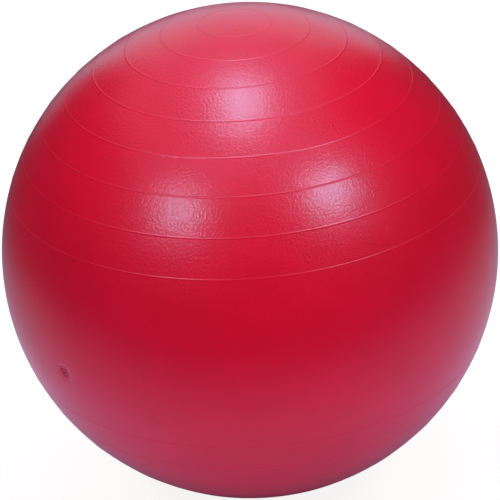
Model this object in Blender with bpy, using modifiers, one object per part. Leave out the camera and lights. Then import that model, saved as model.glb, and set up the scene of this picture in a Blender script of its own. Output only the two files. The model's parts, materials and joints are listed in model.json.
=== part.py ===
"""Exercise ball, 65 cm: a PVC skin with grip rings, a valve seat moulded into it and a push-in plug.

Metres, +Z up. The origin is on the floor, in the middle of the flat patch that the inflated ball
rests on. The grip rings run round the Z axis, and -Y is the front. The ball stands inflated, and
the air inside it is what keeps its shape, so the skin is a thin shell round one hollow.
"""

import math

import bpy
from mathutils import Matrix, Vector

MM = 0.001
GAP = 0.3 * MM  # between two pieces that touch, or are bonded, on the real ball
MERGE = 0.01 * MM

# Skin
BALL_RADIUS = 325 * MM
SKIN_THICKNESS = 0.9 * MM
PATCH_RADIUS = 36 * MM  # the flat that the ball's weight presses into its foot
CENTRE_HEIGHT = math.sqrt(BALL_RADIUS**2 - PATCH_RADIUS**2)
BALL_STEPS = 48

# Grip rings, moulded into the skin, the same above and below the middle
RINGS_PER_HALF = 8
FIRST_RING = math.radians(21.1)  # latitude of the ring next to the plain band
RING_PITCH = math.radians(8.67)
RING_WIDTH = 3.2 * MM
RING_HEIGHT = 0.26 * MM
BAND_STEPS = 8  # facets down the plain band between the two first rings
RING_STEPS = 2  # facets from one ring to the next

# Valve: its mouth is in the plain band, on the front left, and it points straight out of the ball
VALVE_AZIMUTH = math.radians(48.75)  # from the front, towards -X
VALVE_LATITUDE = math.radians(-7.9)
VALVE_STEPS = 40
RIM_SINK = 0.6 * MM  # of the seat's outer face below the true sphere

# Valve seat, a flanged bush
RIM_RADIUS = 9.0 * MM
RIM_ROUND = 0.5 * MM
SEAT_LENGTH = 17.0 * MM
SEAT_TIP_RADIUS = 6.6 * MM
FLANGE_RADIUS = 20.0 * MM
FLANGE_BACK = 4.0 * MM  # depth of the flange's inner face
FLANGE_EDGE = 0.8 * MM
BORE_RADIUS = 4.5 * MM
BORE_TIP_RADIUS = 4.1 * MM
DISH_RADIUS = 6.2 * MM  # the round recess that takes the plug's head
DISH_DEPTH = 2.0 * MM
DISH_BEVEL = 0.4 * MM

# Valve plug, pressed in until its head sits on the floor of the dish
HEAD_RADIUS = 5.7 * MM
HEAD_SINK = 0.3 * MM  # of the head's top below the seat's outer face
HEAD_ROUND = 0.4 * MM
DIMPLE_RADIUS = 2.2 * MM
DIMPLE_DEPTH = 0.5 * MM
SHANK_CLEARANCE = 0.9 * MM  # between the shank and the bore, which the sealing ribs fill
RIB_COUNT = 3
FIRST_RIB_DEPTH = 3.4 * MM  # below the head
RIB_SPACING = 3.6 * MM
RIB_WIDTH = 1.6 * MM
PLUG_LENGTH = 18.0 * MM
TIP_RADIUS = 1.8 * MM
TIP_LENGTH = 3.0 * MM

# Colours (linear RGB), roughness
SKIN_FINISH = ((0.56, 0.012, 0.045, 1.0), 0.42)
SEAT_FINISH = ((0.50, 0.011, 0.040, 1.0), 0.48)
PLUG_FINISH = ((0.36, 0.008, 0.028, 1.0), 0.38)


def clear_scene():
    for ob in list(bpy.data.objects):
        bpy.data.objects.remove(ob, do_unlink=True)


def new_collection(name):
    collection = bpy.data.collections.new(name)
    bpy.context.scene.collection.children.link(collection)
    return collection


def new_material(name, finish):
    colour, roughness = finish
    material = bpy.data.materials.new(name)
    material.use_nodes = True
    shader = material.node_tree.nodes["Principled BSDF"]
    shader.inputs["Base Color"].default_value = colour
    shader.inputs["Roughness"].default_value = roughness
    shader.inputs["Metallic"].default_value = 0.0
    material.diffuse_color = colour
    return material


def turned(name, outlines, steps, collection):
    """A body turned about its own Z axis from one or more outlines of (radius, height) points.

    An outline runs down the outer side. One that doesn't end on the axis is a closed loop.
    """
    points, edges = [], []
    for outline in outlines:
        first = len(points)
        points += [(radius, 0.0, height) for radius, height in outline]
        edges += [(i, i + 1) for i in range(first, len(points) - 1)]
        if outline[0][0] > 0:
            edges.append((len(points) - 1, first))
    mesh = bpy.data.meshes.new(name)
    mesh.from_pydata(points, edges, [])
    ob = bpy.data.objects.new(name, mesh)
    collection.objects.link(ob)
    screw = ob.modifiers.new("turn", "SCREW")
    screw.axis = "Z"
    screw.angle = 2 * math.pi
    screw.steps = screw.render_steps = steps
    screw.use_merge_vertices = True
    screw.merge_threshold = MERGE
    screw.use_smooth_shade = True
    return ob


def boolean(ob, operation, other):
    """other is a guide: it shapes ob and isn't a piece."""
    cut = ob.modifiers.new(operation.lower(), "BOOLEAN")
    cut.operation = operation
    cut.solver = "EXACT"
    cut.object = other
    other.hide_render = True
    other.display_type = "WIRE"


def smooth(ob, sharp_angle=math.radians(35)):
    """Applies the modifiers, and shades the result smooth but for its sharper edges."""
    depsgraph = bpy.context.evaluated_depsgraph_get()
    ob.data = bpy.data.meshes.new_from_object(ob.evaluated_get(depsgraph))
    ob.modifiers.clear()
    ob.data.shade_smooth()
    ob.data.set_sharp_from_angle(angle=sharp_angle)


def ring_latitudes():
    """The middles of the grip rings, from the top one down."""
    upper = [FIRST_RING + i * RING_PITCH for i in range(RINGS_PER_HALF)]
    return upper[::-1] + [-latitude for latitude in upper]


def stations():
    """Latitudes down the ball, in pairs of a latitude and whether a ring is there."""
    rings = ring_latitudes()
    found = [((math.pi / 2 + rings[0]) / 2, False), (rings[0], True)]
    for above, below in zip(rings, rings[1:]):
        steps = BAND_STEPS if above > 0 > below else RING_STEPS
        found += [(above + (below - above) * i / steps, False) for i in range(1, steps)]
        found.append((below, True))
    return found


def on_ball(latitude, radius):
    return radius * math.cos(latitude), CENTRE_HEIGHT + radius * math.sin(latitude)


def flat_bottomed(radius, floor, middle):
    """The outline of a ball of this radius, cut flat at height floor. middle is what lies between."""
    patch = math.sqrt(radius**2 - (CENTRE_HEIGHT - floor) ** 2)
    return [(0.0, CENTRE_HEIGHT + radius)] + middle + [(patch, floor), (0.0, floor)]


def outer_outline():
    half_ring = RING_WIDTH / 2 / BALL_RADIUS
    middle = []
    for latitude, has_ring in stations():
        if has_ring:
            middle.append(on_ball(latitude + half_ring, BALL_RADIUS))
            middle.append(on_ball(latitude, BALL_RADIUS + RING_HEIGHT))
            middle.append(on_ball(latitude - half_ring, BALL_RADIUS))
        else:
            middle.append(on_ball(latitude, BALL_RADIUS))
    return flat_bottomed(BALL_RADIUS, 0.0, middle)


def inner_outline(depth):
    """A plain ball inside the skin, this far below its outer face."""
    radius = BALL_RADIUS - depth
    middle = [on_ball(latitude, radius) for latitude, _ in stations()]
    return flat_bottomed(radius, depth, middle)


def valve_frame():
    """Where the valve's parts are placed: at its mouth on the sphere, with their Z straight out."""
    outward = Vector(
        (
            -math.sin(VALVE_AZIMUTH) * math.cos(VALVE_LATITUDE),
            -math.cos(VALVE_AZIMUTH) * math.cos(VALVE_LATITUDE),
            math.sin(VALVE_LATITUDE),
        )
    )
    mouth = Vector((0, 0, CENTRE_HEIGHT)) + outward * BALL_RADIUS
    return Matrix.Translation(mouth) @ outward.to_track_quat("Z", "Y").to_matrix().to_4x4()


def make_skin(parts, guides):
    skin = turned(
        "ball_skin",
        [outer_outline(), inner_outline(SKIN_THICKNESS)[::-1]],
        BALL_STEPS,
        parts,
    )
    reach = 4 * SKIN_THICKNESS
    radius = RIM_RADIUS + GAP
    hole = turned(
        "valve_hole_guide",
        [[(0, reach), (radius, reach), (radius, -reach), (0, -reach)]],
        VALVE_STEPS,
        guides,
    )
    hole.matrix_world = valve_frame()
    boolean(skin, "DIFFERENCE", hole)
    return skin


def seat_bore_outline():
    """The bush from its outer face down, then back up its bore and round its dish."""
    top = -RIM_SINK
    floor = top - DISH_DEPTH
    return [
        (RIM_RADIUS - RIM_ROUND, top),
        (RIM_RADIUS, top - RIM_ROUND),
        (RIM_RADIUS, -FLANGE_BACK),
        (SEAT_TIP_RADIUS + RIM_ROUND, -FLANGE_BACK - 2 * RIM_ROUND),
        (SEAT_TIP_RADIUS, -SEAT_LENGTH),
        (BORE_TIP_RADIUS, -SEAT_LENGTH),
        (BORE_RADIUS, floor),
        (DISH_RADIUS, floor),
        (DISH_RADIUS, top - DISH_BEVEL),
        (DISH_RADIUS + DISH_BEVEL, top),
    ]


def make_seat(parts, guides):
    """A flange that fits the inside of the skin, joined to the bush that goes through it."""
    inside = (DISH_RADIUS + RIM_RADIUS) / 2
    top = 2 * FLANGE_BACK
    seat = turned(
        "valve_seat",
        [
            [
                (FLANGE_RADIUS, top),
                (FLANGE_RADIUS, FLANGE_EDGE - FLANGE_BACK),
                (FLANGE_RADIUS - FLANGE_EDGE, -FLANGE_BACK),
                (inside, -FLANGE_BACK),
                (inside, top),
            ]
        ],
        VALVE_STEPS,
        parts,
    )
    seat.matrix_world = valve_frame()
    hollow = turned(
        "inside_of_skin_guide", [inner_outline(SKIN_THICKNESS + GAP)], BALL_STEPS, guides
    )
    boolean(seat, "INTERSECT", hollow)
    bush = turned("valve_bush_guide", [seat_bore_outline()], VALVE_STEPS, guides)
    bush.matrix_world = valve_frame()
    boolean(seat, "UNION", bush)
    return seat


def bore_radius_at(height):
    """The seat's bore narrows evenly from the floor of its dish to its tip."""
    top, tip = -RIM_SINK - DISH_DEPTH, -SEAT_LENGTH
    along = (top - height) / (top - tip)
    return BORE_RADIUS + (BORE_TIP_RADIUS - BORE_RADIUS) * along


def make_plug(parts):
    top = -RIM_SINK - HEAD_SINK
    under = -RIM_SINK - DISH_DEPTH + GAP
    tip = top - PLUG_LENGTH
    outline = [
        (0.0, top - DIMPLE_DEPTH),
        (DIMPLE_RADIUS - HEAD_ROUND, top - DIMPLE_DEPTH),
        (DIMPLE_RADIUS, top),
        (HEAD_RADIUS - HEAD_ROUND, top),
        (HEAD_RADIUS, top - HEAD_ROUND),
        (HEAD_RADIUS, under),
        (bore_radius_at(under) - SHANK_CLEARANCE, under),
    ]
    for i in range(RIB_COUNT):
        rib = under - FIRST_RIB_DEPTH - i * RIB_SPACING
        shank = bore_radius_at(rib) - SHANK_CLEARANCE
        crest = bore_radius_at(rib - RIB_WIDTH) - GAP
        outline += [
            (shank, rib),
            (crest, rib - RIB_WIDTH / 4),
            (crest, rib - RIB_WIDTH * 3 / 4),
            (shank, rib - RIB_WIDTH),
        ]
    outline += [
        (bore_radius_at(tip + TIP_LENGTH) - SHANK_CLEARANCE, tip + TIP_LENGTH),
        (TIP_RADIUS, tip),
        (0.0, tip),
    ]
    plug = turned("valve_plug", [outline], VALVE_STEPS, parts)
    plug.matrix_world = valve_frame()
    return plug


clear_scene()
parts = new_collection("exercise_ball")
guides = new_collection("guides")
pieces = [
    (make_skin(parts, guides), SKIN_FINISH),
    (make_seat(parts, guides), SEAT_FINISH),
    (make_plug(parts), PLUG_FINISH),
]
bpy.context.view_layer.update()
for piece, finish in pieces:
    smooth(piece)
    piece.data.materials.clear()
    piece.data.materials.append(new_material(piece.name + "_pvc", finish))
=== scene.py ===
"""Exercise ball: the looks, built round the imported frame.

The skin, the valve's seat and its plug are made again here as fine meshes of the same size, each
with a material for moulded PVC. Metres, +Z up; the ball rests on the floor at z = 0 with its front
at -Y.
"""

import json
import math

import bpy
from mathutils import Matrix, Vector, noise


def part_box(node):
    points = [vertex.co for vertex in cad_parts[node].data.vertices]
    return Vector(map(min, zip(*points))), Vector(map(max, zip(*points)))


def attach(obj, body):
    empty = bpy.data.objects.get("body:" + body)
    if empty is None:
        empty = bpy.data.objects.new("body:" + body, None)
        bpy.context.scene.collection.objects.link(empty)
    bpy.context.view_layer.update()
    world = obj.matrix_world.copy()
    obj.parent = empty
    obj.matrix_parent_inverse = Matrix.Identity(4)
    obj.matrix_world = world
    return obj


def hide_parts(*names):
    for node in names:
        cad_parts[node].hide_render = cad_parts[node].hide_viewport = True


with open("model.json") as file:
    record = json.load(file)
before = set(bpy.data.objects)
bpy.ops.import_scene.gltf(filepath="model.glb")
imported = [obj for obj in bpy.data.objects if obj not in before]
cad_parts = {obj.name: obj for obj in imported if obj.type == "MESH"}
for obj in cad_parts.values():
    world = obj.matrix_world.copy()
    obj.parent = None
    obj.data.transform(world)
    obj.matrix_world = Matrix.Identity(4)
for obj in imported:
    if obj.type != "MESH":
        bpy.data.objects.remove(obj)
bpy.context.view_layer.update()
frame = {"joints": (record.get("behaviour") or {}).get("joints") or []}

MM = 0.001

# The ball, from the frame: its ring-free equator and crown give the radius and the centre
SKIN_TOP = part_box("ball_skin")[1]
RADIUS = SKIN_TOP.x
CENTRE = Vector((0.0, 0.0, SKIN_TOP.z - RADIUS))
SKIN_THICKNESS = 0.9 * MM

# Grip rings: raised ridges with a rounded section, the same above and below the middle
RINGS_PER_HALF = 8
FIRST_RING = math.radians(21.1)
RING_PITCH = math.radians(8.67)
RING_WIDTH = 3.2 * MM
RING_HEIGHT = 0.26 * MM
RING_ROWS = 9  # rows of vertices across one ring
RING_GUARD = 0.5 * MM  # between a ring's foot and a row that keeps the skin beside it plain
PITCH_ROWS = 4  # rows between two rings
CAP_ROWS = 6  # rows from a pole to its nearest ring

# Grid of the skin
COLUMN_STEP = math.radians(2.2)
BAND_STEP = math.radians(1.8)  # down the plain band between the two first rings
FOOT_SOFTNESS = 0.3 * MM  # rounds the edge of the flat that rests on the floor

# Soft unevenness that an inflated skin always has
SWELL = 0.22 * MM
SWELL_SIZE = 75 * MM

# PVC: a deep shade and a light one in clouds and flecks, a sharp gloss, and a haze over it
CLOUD_SIZE = 70 * MM
CLOUD_SPAN = (0.35, 0.65)  # this and the other spans are the part of a noise that is made use of
CLOUD_SHARE = 0.65  # of the way from the deep shade to the light one; the flecks do the rest
FLECK_SIZE = 2.5 * MM
FLECK_SPAN = (0.3, 0.7)
GLOSS_LEVEL = 0.38
GLOSS_TINT = (1.0, 1.0, 0.84)
SMEAR_SIZE = 28 * MM
SMEAR_SPAN = (0.35, 0.7)
SMEAR_ROUGHNESS = (0.11, 0.16)  # of the gloss, where the skin is clean and where it is smeared
RING_WEAR = 0.30  # added to it on top of a ring, which hands and floors rub
WEAR_SPAN = (0.1, 0.7)  # of a ring's height
HAZE_ROUGHNESS = 0.40
PVC_IOR = 1.5
HAZE_IOR = 1.55
PEEL_SIZE = 9 * MM  # orange peel, from the mould
PEEL_DEPTH = 0.25 * MM
PEEL_STRENGTH = 0.25

# Valve, in the joint's own direction
VALVE_AXIS = Vector(frame["joints"][0]["axis"]).normalized()
MOUTH = CENTRE + RADIUS * VALVE_AXIS
VALVE_STEPS = 96
VALVE_CELLS = 16  # the fine window of the skin's grid round the valve is this many cells each way
VALVE_CELL = 3.0 * MM
VALVE_LOOPS = 12  # from the window's square edge to the round hole
LOOP_CROWDING = 1.7  # how much closer they get to one another on the way
RIM_SINK = 0.6 * MM
RIM_RADIUS = 9.0 * MM
FIT_GAP = 0.3 * MM  # between the skin and the seat, and between the seat and the plug
DIP_REACH = 7.0 * MM  # how far beyond the hole the skin starts to dip towards the seat

SEAT_LENGTH = 17.0 * MM
SEAT_TIP_RADIUS = 6.6 * MM
FLANGE_RADIUS = 20.0 * MM
FLANGE_BACK = 4.0 * MM
FLANGE_EDGE = 0.8 * MM
FLANGE_STEPS = 6  # across the flange's outer face
BORE_RADIUS = 4.5 * MM
BORE_TIP_RADIUS = 4.1 * MM
DISH_RADIUS = 6.2 * MM
DISH_DEPTH = 2.0 * MM

HEAD_RADIUS = 5.7 * MM
HEAD_SINK = 0.3 * MM
DIMPLE_RADIUS = 2.2 * MM
DIMPLE_DEPTH = 0.5 * MM
SHANK_CLEARANCE = 0.9 * MM
RIB_COUNT = 3
FIRST_RIB_DEPTH = 3.4 * MM
RIB_SPACING = 3.6 * MM
RIB_WIDTH = 1.6 * MM
PLUG_LENGTH = 18.0 * MM
TIP_RADIUS = 1.8 * MM
TIP_LENGTH = 3.0 * MM

# Camera: the ball nearly fills the frame, seen from above and with its axis leaning to the left
CAMERA_ELEVATION = math.radians(27.2)
CAMERA_ROLL = math.radians(-3.94)
CAMERA_DISTANCE = 10 * RADIUS
CAMERA_FILL = 0.993  # of the frame's width
CAMERA_SENSOR = 36.0

# Studio. The ball's red nearly fills the camera's red channel, so its highlights show up cool: its
# gloss and its matt are lit by lamps of their own, each with its own colour.
WHITE = (1.0, 1.0, 1.0)
GLOSS_COLOUR = (0.22, 0.73, 1.20)
BACK_COLOUR = (0.34, 0.73, 0.94)  # of the gloss that comes from behind the ball
MATT_COLOUR = (1.0, 0.8, 0.9)
WORLD_FILL = 0.03

# Table, which glows round the ball: the camera sees it evenly pale, and the ball sees a painted
# pool of light round it, with painted shade under the ball
FLOOR_SIZE = 14.0
FLOOR_GAP = 0.5 * MM
FLOOR_PALENESS = 0.88  # what the camera sees of it where a shadow is darkest
FLOOR_SHADE = (0.24, 0.30, 0.27)  # and the rest, which needs light from the studio
GLOW_FRONT = (1.14, 0.61, 1.24)  # colours of the glow
GLOW_BACK = (0.85, 0.60, 0.86)
GLOW_TURN = (-0.30, 0.20)  # along Y, from where to where it goes over from one to the other
GLOW_RADIANCE = (0.52, 0.05)  # close to the ball, and far away
# The glow starts from nothing at the ball's axis: painted shade under the ball.
GLOW_START = (0.12, 0.42)  # metres from the ball's axis over which the glow comes up
GLOW_END = (0.40, 1.05)  # and over which it fades
GLOW_END_STRETCH = 0.66  # of the sideways distance, as the pool of light is wider than it is deep
GLOW_ASIDE = 0.04  # its middle lies this far to the right
# Painted light as well, behind the ball.
VEIL_RADIANCE = 0.11  # of a fainter glow that reaches further back
VEIL_END = (1.2, 2.0)


# ---------------------------------------------------------------- skin


def smoothstep(t):
    t = min(max(t, 0.0), 1.0)
    return t * t * (3 - 2 * t)


def direction(azimuth, latitude):
    """Azimuth runs from the front, -Y, towards -X."""
    return Vector(
        (
            -math.sin(azimuth) * math.cos(latitude),
            -math.cos(azimuth) * math.cos(latitude),
            math.sin(latitude),
        )
    )


def latitude_of(outward):
    return math.asin(max(-1.0, min(1.0, outward.z)))


def ring_latitudes():
    """The middles of the grip rings, from the top one down."""
    upper = [FIRST_RING + i * RING_PITCH for i in range(RINGS_PER_HALF)]
    return upper[::-1] + [-latitude for latitude in upper]


RING_LATITUDES = ring_latitudes()


def ridge(latitude):
    """Height of a grip ring above the plain skin."""
    half = RING_WIDTH / 2
    nearest = min(abs(latitude - ring) for ring in RING_LATITUDES) * RADIUS
    if nearest >= half:
        return 0.0
    return RING_HEIGHT * math.cos(math.pi / 2 * nearest / half) ** 2


def valve_dip(beside):
    """Depth of the skin below the sphere, this far beside the valve's axis."""
    hole = RIM_RADIUS + FIT_GAP
    return RIM_SINK * (1 - smoothstep((beside - hole) / DIP_REACH))


def swell(outward, beside):
    """Low, soft unevenness, none of it at the valve, where the parts have to fit."""
    fade = smoothstep((beside - RIM_RADIUS - DIP_REACH) / SWELL_SIZE)
    return SWELL * fade * noise.noise(outward * (RADIUS / SWELL_SIZE))


def on_skin(outward):
    """The skin's outer face in this direction from the ball's centre."""
    beside = RADIUS * outward.angle(VALVE_AXIS)
    ring = ridge(latitude_of(outward))
    reach = RADIUS + ring + swell(outward, beside) - valve_dip(beside)
    point = CENTRE + outward * reach
    # What would go below the floor is pressed flat on it
    point.z = (point.z + math.hypot(point.z, FOOT_SOFTNESS)) / 2
    return point


def spread(start, stop, step):
    """Even stations from start up to stop, at most a step apart, without the last one."""
    count = max(1, math.ceil(abs(stop - start) / step - 1e-6))
    return [start + (stop - start) * i / count for i in range(count)]


def valve_window():
    """Where the fine window's first column, last column, top row and bottom row are."""
    azimuth = math.atan2(-VALVE_AXIS.x, -VALVE_AXIS.y)
    latitude = math.asin(VALVE_AXIS.z)
    half = VALVE_CELLS * VALVE_CELL / 2 / RADIUS
    across = half / math.cos(latitude)
    return azimuth - across, azimuth + across, latitude + half, latitude - half


def columns():
    """Azimuths of the grid, starting with the window's."""
    first, last, _, _ = valve_window()
    fine = (last - first) / VALVE_CELLS
    return spread(first, last, fine) + spread(last, first + 2 * math.pi, COLUMN_STEP)


def rows():
    """Latitudes of the grid from the top down, and the index of the window's first row."""
    _, _, top, bottom = valve_window()
    foot = RING_WIDTH / 2 / RADIUS
    guard = foot + RING_GUARD / RADIUS
    found, at = [], math.pi / 2
    for ring in RING_LATITUDES:
        if at == math.pi / 2:
            found += spread(at, ring + guard, (at - ring) / CAP_ROWS)[1:]
        elif at > 0 > ring:
            found += spread(at, top, BAND_STEP)
            first = len(found)
            found += spread(top, bottom, (top - bottom) / VALVE_CELLS)
            found += spread(bottom, ring + guard, BAND_STEP)
        else:
            found += spread(at, ring + guard, (at - ring) / PITCH_ROWS)
        found.append(ring + guard)
        found += spread(ring + foot, ring - foot, 2 * foot / (RING_ROWS - 1))
        found.append(ring - foot)
        at = ring - guard
    return found + spread(at, -math.pi / 2, (at + math.pi / 2) / CAP_ROWS), first


def square_to_hole(corner_loop):
    """Loops of directions from the window's square edge in to the valve's round hole."""
    to_valve = VALVE_AXIS.to_track_quat("Z", "Y")
    across, up = to_valve @ Vector((1, 0, 0)), to_valve @ Vector((0, 1, 0))
    hole = (RIM_RADIUS + FIT_GAP) / RADIUS
    loops = []
    for k in range(1, VALVE_LOOPS + 1):
        inward = 1 - (1 - k / VALVE_LOOPS) ** LOOP_CROWDING
        loop = []
        for outward in corner_loop:
            sideways = Vector((outward.dot(across), outward.dot(up))).normalized()
            edge = across * sideways.x + up * sideways.y
            on_hole = VALVE_AXIS * math.cos(hole) + edge * math.sin(hole)
            loop.append(outward.lerp(on_hole, inward).normalized())
        loops.append(loop)
    return loops


def skin_mesh():
    """A grid of columns and rows, a fan at each pole, and loops round the valve's hole.

    Its attribute crest goes from 0 on the plain skin to 1 on top of a ring.
    """
    azimuths = columns()
    latitudes, window_row = rows()
    width, depth = len(azimuths), len(latitudes)
    outwards = [direction(a, t) for t in latitudes for a in azimuths]
    faces = []

    def at(row, column):
        return row * width + column % width

    def in_window(row, column):
        return window_row <= row < window_row + VALVE_CELLS and column < VALVE_CELLS

    for row in range(depth - 1):
        for column in range(width):
            if not in_window(row, column):
                below = row + 1
                upper = [at(row, column), at(row, column + 1)]
                faces.append(upper + [at(below, column + 1), at(below, column)])

    poles = [len(outwards), len(outwards) + 1]
    outwards += [Vector((0, 0, 1)), Vector((0, 0, -1))]
    for column in range(width):
        faces.append([poles[0], at(0, column + 1), at(0, column)])
        faces.append([poles[1], at(depth - 1, column), at(depth - 1, column + 1)])

    side = range(VALVE_CELLS)
    top, bottom = window_row, window_row + VALVE_CELLS
    loop = [at(top, i) for i in side]
    loop += [at(top + i, VALVE_CELLS) for i in side]
    loop += [at(bottom, VALVE_CELLS - i) for i in side]
    loop += [at(bottom - i, 0) for i in side]
    for inner in square_to_hole([outwards[i] for i in loop]):
        new = list(range(len(outwards), len(outwards) + len(inner)))
        outwards += inner
        for a, b, c, d in zip(loop, loop[1:] + loop[:1], new[1:] + new[:1], new):
            faces.append([a, b, c, d])
        loop = new

    mesh = bpy.data.meshes.new("ball_skin_fine")
    mesh.from_pydata([on_skin(outward) for outward in outwards], [], faces)
    crest = mesh.attributes.new("crest", "FLOAT", "POINT")
    heights = [ridge(latitude_of(outward)) / RING_HEIGHT for outward in outwards]
    crest.data.foreach_set("value", heights)
    mesh.validate()
    mesh.shade_smooth()
    return mesh


def make_skin():
    skin = bpy.data.objects.new("ball_skin_fine", skin_mesh())
    bpy.context.scene.collection.objects.link(skin)
    wall = skin.modifiers.new("wall", "SOLIDIFY")
    wall.thickness = SKIN_THICKNESS
    wall.offset = -1.0
    wall.use_even_offset = True
    return skin


# ---------------------------------------------------------------- valve


def facing(axis):
    """The turn that points +Z along this axis."""
    return axis.to_track_quat("Z", "Y").to_matrix().to_4x4()


def rounded(outline, steps=4):
    """The outline of (radius, height, rounding) points with each corner turned into an arc."""
    points = []
    for i, (radius, height, rounding) in enumerate(outline):
        corner = Vector((radius, height))
        if rounding == 0:
            points.append(corner)
            continue
        before = Vector(outline[i - 1][:2]) - corner
        after = Vector(outline[(i + 1) % len(outline)][:2]) - corner
        start = corner + before.normalized() * rounding
        end = corner + after.normalized() * rounding
        for k in range(steps + 1):
            t = k / steps
            points.append(start.lerp(corner, t).lerp(corner.lerp(end, t), t))
    return points


def turned(name, outline):
    """A body turned about the valve's axis from an outline that runs down its outer side."""
    closed = outline[0].x > 0
    count = len(outline)
    mesh = bpy.data.meshes.new(name)
    edges = [(i, (i + 1) % count) for i in range(count if closed else count - 1)]
    mesh.from_pydata([(p.x, 0.0, p.y) for p in outline], edges, [])
    piece = bpy.data.objects.new(name, mesh)
    bpy.context.scene.collection.objects.link(piece)
    piece.matrix_world = Matrix.Translation(MOUTH) @ facing(VALVE_AXIS)
    screw = piece.modifiers.new("turn", "SCREW")
    screw.axis = "Z"
    screw.angle = 2 * math.pi
    screw.steps = screw.render_steps = VALVE_STEPS
    screw.use_merge_vertices = True
    screw.merge_threshold = 0.001 * MM
    screw.use_smooth_shade = True
    return piece


def under_skin(beside):
    """Height of the flange's outer face: just below the inside of the skin."""
    depth = SKIN_THICKNESS + FIT_GAP + valve_dip(beside)
    return math.sqrt((RADIUS - depth) ** 2 - beside**2) - RADIUS


def make_seat():
    top = -RIM_SINK
    floor = top - DISH_DEPTH
    round_edge = 0.5 * MM
    outline = [(RIM_RADIUS, top, round_edge)]
    for i in range(FLANGE_STEPS + 1):
        beside = RIM_RADIUS + (FLANGE_RADIUS - RIM_RADIUS) * i / FLANGE_STEPS
        outline.append((beside, under_skin(beside), 0))
    outline += [
        (FLANGE_RADIUS, FLANGE_EDGE - FLANGE_BACK, 0.2 * MM),
        (FLANGE_RADIUS - FLANGE_EDGE, -FLANGE_BACK, 0.2 * MM),
        (RIM_RADIUS, -FLANGE_BACK, 0.4 * MM),
        (SEAT_TIP_RADIUS + round_edge, -FLANGE_BACK - 2 * round_edge, 0.4 * MM),
        (SEAT_TIP_RADIUS, -SEAT_LENGTH, 0.4 * MM),
        (BORE_TIP_RADIUS, -SEAT_LENGTH, 0.3 * MM),
        (BORE_RADIUS, floor, 0.2 * MM),
        (DISH_RADIUS, floor, 0.2 * MM),
        (DISH_RADIUS, top, 0.5 * MM),
    ]
    return turned("valve_seat_fine", rounded(outline))


def bore_radius_at(height):
    """The seat's bore narrows evenly from the floor of its dish to its tip."""
    top, tip = -RIM_SINK - DISH_DEPTH, -SEAT_LENGTH
    along = (top - height) / (top - tip)
    return BORE_RADIUS + (BORE_TIP_RADIUS - BORE_RADIUS) * along


def make_plug():
    top = -RIM_SINK - HEAD_SINK
    under = -RIM_SINK - DISH_DEPTH + FIT_GAP
    tip = top - PLUG_LENGTH
    outline = [
        (0.0, top - DIMPLE_DEPTH, 0),
        (DIMPLE_RADIUS - DIMPLE_DEPTH, top - DIMPLE_DEPTH, 0.3 * MM),
        (DIMPLE_RADIUS, top, 0.2 * MM),
        (HEAD_RADIUS, top, 0.5 * MM),
        (HEAD_RADIUS, under, 0.3 * MM),
        (bore_radius_at(under) - SHANK_CLEARANCE, under, 0.3 * MM),
    ]
    for i in range(RIB_COUNT):
        rib = under - FIRST_RIB_DEPTH - i * RIB_SPACING
        shank = bore_radius_at(rib) - SHANK_CLEARANCE
        crest = bore_radius_at(rib - RIB_WIDTH) - FIT_GAP
        outline += [
            (shank, rib, 0.2 * MM),
            (crest, rib - RIB_WIDTH / 4, 0.2 * MM),
            (crest, rib - RIB_WIDTH * 3 / 4, 0.2 * MM),
            (shank, rib - RIB_WIDTH, 0.2 * MM),
        ]
    outline += [
        (bore_radius_at(tip + TIP_LENGTH) - SHANK_CLEARANCE, tip + TIP_LENGTH, 0.5 * MM),
        (TIP_RADIUS, tip, 0.6 * MM),
        (0.0, tip, 0),
    ]
    return turned("valve_plug_fine", rounded(outline))


# ---------------------------------------------------------------- materials


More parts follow.
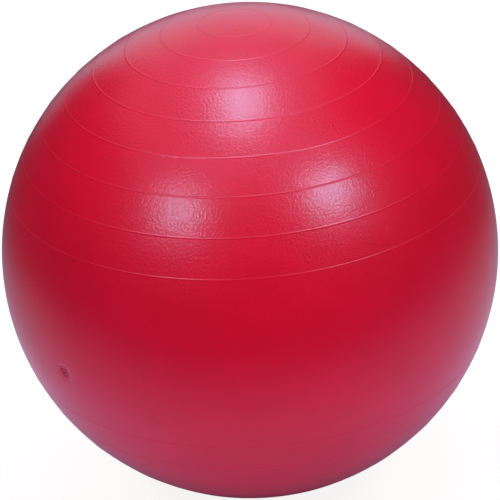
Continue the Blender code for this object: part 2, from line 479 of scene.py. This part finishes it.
class Nodes:
    """A material's node tree, with short ways to add to it."""

    def __init__(self, name):
        self.material = bpy.data.materials.new(name)
        self.material.use_nodes = True
        self.tree = self.material.node_tree
        self.shader = self.tree.nodes["Principled BSDF"]
        self.place = self.add("ShaderNodeTexCoord").outputs["Object"]

    def add(self, kind, **settings):
        node = self.tree.nodes.new(kind)
        for name, value in settings.items():
            setattr(node, name, value)
        return node

    def link(self, source, target):
        self.tree.links.new(source, target)

    def noise(self, size, detail=2.0, roughness=0.5, distortion=0.0):
        """Noise whose features are about this big."""
        node = self.add("ShaderNodeTexNoise")
        self.link(self.place, node.inputs["Vector"])
        node.inputs["Scale"].default_value = 1 / size
        node.inputs["Detail"].default_value = detail
        node.inputs["Roughness"].default_value = roughness
        node.inputs["Distortion"].default_value = distortion
        return node.outputs["Fac"]

    def attribute(self, name):
        """A number kept on the mesh's vertices, 0 where a mesh hasn't got it."""
        return self.add("ShaderNodeAttribute", attribute_name=name).outputs["Fac"]

    def axes(self):
        """The place's X, Y and Z."""
        split = self.add("ShaderNodeSeparateXYZ")
        self.link(self.place, split.inputs["Vector"])
        return [split.outputs[axis] for axis in "XYZ"]

    def ramp(self, value, span, results):
        """Goes from one result to the other as the value crosses the span."""
        node = self.add("ShaderNodeMapRange")
        self.link(value, node.inputs["Value"])
        node.inputs["From Min"].default_value, node.inputs["From Max"].default_value = span
        node.inputs["To Min"].default_value, node.inputs["To Max"].default_value = results
        return node.outputs["Result"]

    def maths(self, operation, a, b=0.0):
        node = self.add("ShaderNodeMath", operation=operation)
        for socket, value in zip(node.inputs, (a, b)):
            if isinstance(value, (int, float)):
                socket.default_value = value
            else:
                self.link(value, socket)
        return node.outputs["Value"]

    def blend(self, factor, start, end):
        """Goes from one colour to the other."""
        node = self.add("ShaderNodeMix", data_type="RGBA")
        self.link(factor, node.inputs["Factor"])
        node.inputs["A"].default_value = (*start, 1.0)
        node.inputs["B"].default_value = (*end, 1.0)
        return node.outputs["Result"]

    def bump(self, height, depth, strength, under=None):
        node = self.add("ShaderNodeBump")
        self.link(height, node.inputs["Height"])
        node.inputs["Distance"].default_value = depth
        node.inputs["Strength"].default_value = strength
        if under is not None:
            self.link(under, node.inputs["Normal"])
        return node.outputs["Normal"]


def pvc(name, deep, light, haze, grain_size, grain_depth):
    """Moulded PVC: two shades in soft clouds under a sharp gloss and a haze, with a fine grain."""
    nodes = Nodes(name)
    shader = nodes.shader
    clouds = nodes.ramp(nodes.noise(CLOUD_SIZE, 3.0), CLOUD_SPAN, (0.0, CLOUD_SHARE))
    flecks = nodes.ramp(nodes.noise(FLECK_SIZE, 2.0), FLECK_SPAN, (0.0, 1 - CLOUD_SHARE))
    shade = nodes.maths("ADD", clouds, flecks)
    nodes.link(nodes.blend(shade, deep, light), shader.inputs["Base Color"])

    smears = nodes.ramp(nodes.noise(SMEAR_SIZE, 3.0, 0.6, 0.8), SMEAR_SPAN, SMEAR_ROUGHNESS)
    rubbed = nodes.ramp(nodes.attribute("crest"), WEAR_SPAN, (0.0, RING_WEAR))
    nodes.link(nodes.maths("ADD", smears, rubbed), shader.inputs["Roughness"])
    shader.inputs["IOR"].default_value = PVC_IOR
    shader.inputs["Specular IOR Level"].default_value = GLOSS_LEVEL
    shader.inputs["Specular Tint"].default_value = (*GLOSS_TINT, 1.0)
    shader.inputs["Coat Weight"].default_value = haze
    shader.inputs["Coat Roughness"].default_value = HAZE_ROUGHNESS
    shader.inputs["Coat IOR"].default_value = HAZE_IOR

    grain = nodes.bump(nodes.noise(grain_size, 3.0, 0.55), grain_depth, 1.0)
    peel = nodes.bump(nodes.noise(PEEL_SIZE, 2.0), PEEL_DEPTH, PEEL_STRENGTH, under=grain)
    nodes.link(peel, shader.inputs["Normal"])
    nodes.link(peel, shader.inputs["Coat Normal"])
    return nodes.material


def skin_pvc():
    return pvc(
        "skin_pvc_red",
        deep=(0.80, 0.001, 0.028),
        light=(0.88, 0.002, 0.038),
        haze=1.0,
        grain_size=2.7 * MM,
        grain_depth=0.40 * MM,
    )


def seat_pvc():
    return pvc(
        "seat_pvc_red",
        deep=(0.74, 0.001, 0.026),
        light=(0.82, 0.002, 0.034),
        haze=0.9,
        grain_size=0.8 * MM,
        grain_depth=0.08 * MM,
    )


def plug_pvc():
    return pvc(
        "plug_pvc_red",
        deep=(0.48, 0.001, 0.018),
        light=(0.56, 0.002, 0.024),
        haze=0.35,
        grain_size=0.6 * MM,
        grain_depth=0.06 * MM,
    )


# ---------------------------------------------------------------- studio


def softbox(name, toward, distance, size, gloss=0.0, matt=0.0, tint=GLOSS_COLOUR):
    """A rectangular light that faces the ball: a lamp for its gloss and a lamp for its matt.

    Toward leads from the ball's centre to the light. Gloss and matt are the lamps' radiances, and
    the tint is the first one's colour.
    """
    toward = Vector(toward).normalized()
    width, height = size
    for kind, radiance, colour in (("gloss", gloss, tint), ("matt", matt, MATT_COLOUR)):
        if radiance == 0:
            continue
        light = bpy.data.lights.new(f"{name}_{kind}", "AREA")
        light.shape = "RECTANGLE"
        light.size, light.size_y = width, height
        light.energy = math.pi * width * height * radiance
        light.color = colour
        # With it, some of the matt lamp would show in the gloss
        light.cycles.use_multiple_importance_sampling = kind == "gloss"
        lamp = bpy.data.objects.new(light.name, light)
        lamp.matrix_world = Matrix.Translation(CENTRE + toward * distance) @ facing(toward)
        lamp.visible_camera = False
        lamp.visible_glossy = kind == "gloss"
        lamp.visible_diffuse = kind == "matt"
        bpy.context.scene.collection.objects.link(lamp)


def make_lights():
    """Softboxes at both sides and overhead, a scrim, and lights behind, beside and below."""
    softbox("left", (-0.46, -0.61, 0.645), 2.05, (0.48, 0.38), gloss=13.6, matt=11.8)
    softbox("right", (0.555, -0.500, 0.655), 2.05, (0.50, 0.40), gloss=17.6, matt=15.2)
    softbox("overhead", (0.01, 0.0, 1.0), 1.7, (0.72, 0.38), gloss=9.2, matt=6.2)
    softbox("overhead_strip", (0.0, 0.0, 1.0), 1.9, (0.70, 1.8), gloss=0.7)
    softbox("scrim", (-0.12, 0.0, 1.0), 2.2, (3.8, 3.4), gloss=0.50, matt=0.62)

    softbox("backdrop", (0.0, 0.90, 0.42), 2.4, (2.3, 2.0), gloss=0.76, matt=0.45, tint=BACK_COLOUR)
    softbox("back_left", (-0.40, 0.92, -0.02), 2.4, (0.6, 0.5), gloss=0.38, tint=BACK_COLOUR)
    softbox("back_right", (0.25, 0.97, -0.02), 2.4, (0.4, 0.5), gloss=0.25, tint=BACK_COLOUR)

    softbox("rim_left", (-0.60, 0.60, 0.50), 2.3, (1.0, 1.0), matt=2.7)
    softbox("rim_right", (0.64, 0.60, 0.40), 2.3, (1.0, 1.0), matt=3.9)
    softbox("low_strip", (0.03, -1.0, -0.10), 2.0, (4.4, 0.2), matt=5.0)


def camera_or_ball(tree, to_camera, to_ball):
    """A shader that the camera sees one way, and that lights the ball another way."""
    which = tree.nodes.new("ShaderNodeMixShader")
    path = tree.nodes.new("ShaderNodeLightPath")
    tree.links.new(path.outputs["Is Camera Ray"], which.inputs["Fac"])
    tree.links.new(to_ball, which.inputs[1])
    tree.links.new(to_camera, which.inputs[2])
    return which.outputs["Shader"]


def make_world():
    """Pale to the camera, and a dim fill to the ball."""
    world = bpy.data.worlds.new("studio")
    bpy.context.scene.world = world
    world.use_nodes = True
    tree = world.node_tree
    output = tree.nodes["World Output"]
    pale, dim = tree.nodes["Background"], tree.nodes.new("ShaderNodeBackground")
    for background, colour, strength in ((pale, WHITE, 1.0), (dim, GLOSS_COLOUR, WORLD_FILL)):
        background.inputs["Color"].default_value = (*colour, 1.0)
        background.inputs["Strength"].default_value = strength
    shader = camera_or_ball(tree, pale.outputs["Background"], dim.outputs["Background"])
    tree.links.new(shader, output.inputs["Surface"])


def distance_ramp(nodes, distances, values, stretch=1.0, aside=0.0):
    """Goes from one value to the other over these distances from the ball's axis or beside it."""
    x, y, _ = nodes.axes()
    x = nodes.maths("MULTIPLY", nodes.maths("SUBTRACT", x, aside), stretch)
    squares = nodes.maths("ADD", nodes.maths("MULTIPLY", x, x), nodes.maths("MULTIPLY", y, y))
    return nodes.ramp(nodes.maths("SQRT", squares), distances, values)


def glow(nodes):
    """What the ball sees of the table: a painted pool of light round it, which comes up out of
    painted shade under the ball, and a fainter one behind it.
    """
    # Painted shade under the ball: the glow is zero at its axis and comes up over GLOW_START.
    start = distance_ramp(nodes, GLOW_START, (0.0, 1.0))
    end = distance_ramp(nodes, GLOW_END, GLOW_RADIANCE, GLOW_END_STRETCH, GLOW_ASIDE)
    veil = distance_ramp(nodes, VEIL_END, (VEIL_RADIANCE, 0.0))
    back = nodes.ramp(nodes.axes()[1], GLOW_TURN, (0.0, 1.0))
    pool, behind = nodes.maths("MULTIPLY", start, end), nodes.maths("MULTIPLY", veil, back)
    emission = nodes.add("ShaderNodeEmission")
    nodes.link(nodes.blend(back, GLOW_FRONT, GLOW_BACK), emission.inputs["Color"])
    nodes.link(nodes.maths("ADD", pool, behind), emission.inputs["Strength"])
    return emission.outputs["Emission"]


def make_floor():
    """A pale table that the camera sees lit by the lamps over an even paleness, and that the ball
    sees as a painted glow round it, with painted shade under it.
    """
    bpy.ops.mesh.primitive_plane_add(size=FLOOR_SIZE, location=(0, 0, -FLOOR_GAP))
    floor = bpy.context.object
    floor.name = "floor"
    nodes = Nodes("pale_floor")
    nodes.tree.nodes.remove(nodes.shader)
    matt = nodes.add("ShaderNodeBsdfDiffuse")
    matt.inputs["Color"].default_value = (*FLOOR_SHADE, 1.0)
    paper = nodes.add("ShaderNodeEmission")
    paper.inputs["Strength"].default_value = FLOOR_PALENESS
    pale = nodes.add("ShaderNodeAddShader")
    nodes.link(matt.outputs["BSDF"], pale.inputs[0])
    nodes.link(paper.outputs["Emission"], pale.inputs[1])
    # The ball sees the painted glow in place of the lit table.
    shader = camera_or_ball(nodes.tree, pale.outputs["Shader"], glow(nodes))
    nodes.link(shader, nodes.tree.nodes["Material Output"].inputs["Surface"])
    floor.data.materials.append(nodes.material)


def make_camera():
    """A camera whose frame is just wider than the ball."""
    data = bpy.data.cameras.new("camera")
    data.sensor_width = CAMERA_SENSOR
    half_view = math.tan(math.asin(RADIUS / CAMERA_DISTANCE)) / CAMERA_FILL
    data.lens = CAMERA_SENSOR / 2 / half_view
    camera = bpy.data.objects.new("camera", data)
    camera.matrix_world = (
        Matrix.Translation(CENTRE)
        @ Matrix.Rotation(math.pi / 2 - CAMERA_ELEVATION, 4, "X")
        @ Matrix.Rotation(CAMERA_ROLL, 4, "Z")
        @ Matrix.Translation((0, 0, CAMERA_DISTANCE))
    )
    bpy.context.scene.collection.objects.link(camera)
    bpy.context.scene.camera = camera


bpy.context.scene.view_settings.view_transform = "Standard"
make_camera()
make_floor()
make_lights()
make_world()

skin, seat, plug = make_skin(), make_seat(), make_plug()
for piece, node, body, slot, material in (
    (skin, "ball_skin", "ball", "skin_pvc", skin_pvc()),
    (seat, "valve_seat", "ball", "seat_pvc", seat_pvc()),
    (plug, "valve_plug", "plug", "plug_pvc", plug_pvc()),
):
    piece.data.materials.append(material)
    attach(piece, body)
    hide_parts(node)
